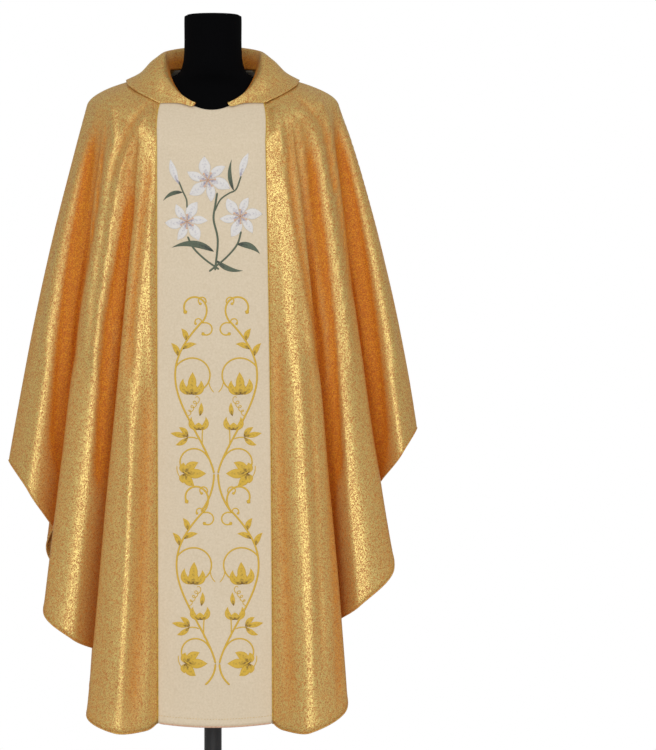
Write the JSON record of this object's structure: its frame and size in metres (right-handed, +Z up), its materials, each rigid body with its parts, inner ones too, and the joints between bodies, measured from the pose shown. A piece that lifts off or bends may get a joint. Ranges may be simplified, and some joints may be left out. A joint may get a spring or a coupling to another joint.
{
  "type": "gothic chasuble on dress form",
  "caption": "Poncho-shaped church vestment of gold cloth with a cream column and a rolled collar, draped on a limbless dress form with a pole and a round base.",
  "frame": {"origin": "on the floor below the middle of the whole part, on the axis of the pole", "axes": "X to the wearer's left, Y from the garment's front to its back, Z up"},
  "size_m": [0.7951, 0.43, 1.594],
  "materials": {
    "gold_cloth": "metallic gold lame, fine glittering weave with a soft sheen",
    "cream_cloth": "matt cream weave with fine cross ribs",
    "form_black": "matt black",
    "stand_steel": "satin black powder coat"
  },
  "bodies": {
    "root": {"front_panel": "cream_cloth", "back_panel": "cream_cloth", "front_right": "gold_cloth", "front_left": "gold_cloth", "back_right": "gold_cloth", "back_left": "gold_cloth", "collar": "gold_cloth", "form_torso": "form_black", "stand_pole": "stand_steel", "stand_base": "stand_steel"}
  },
  "joints": []
}
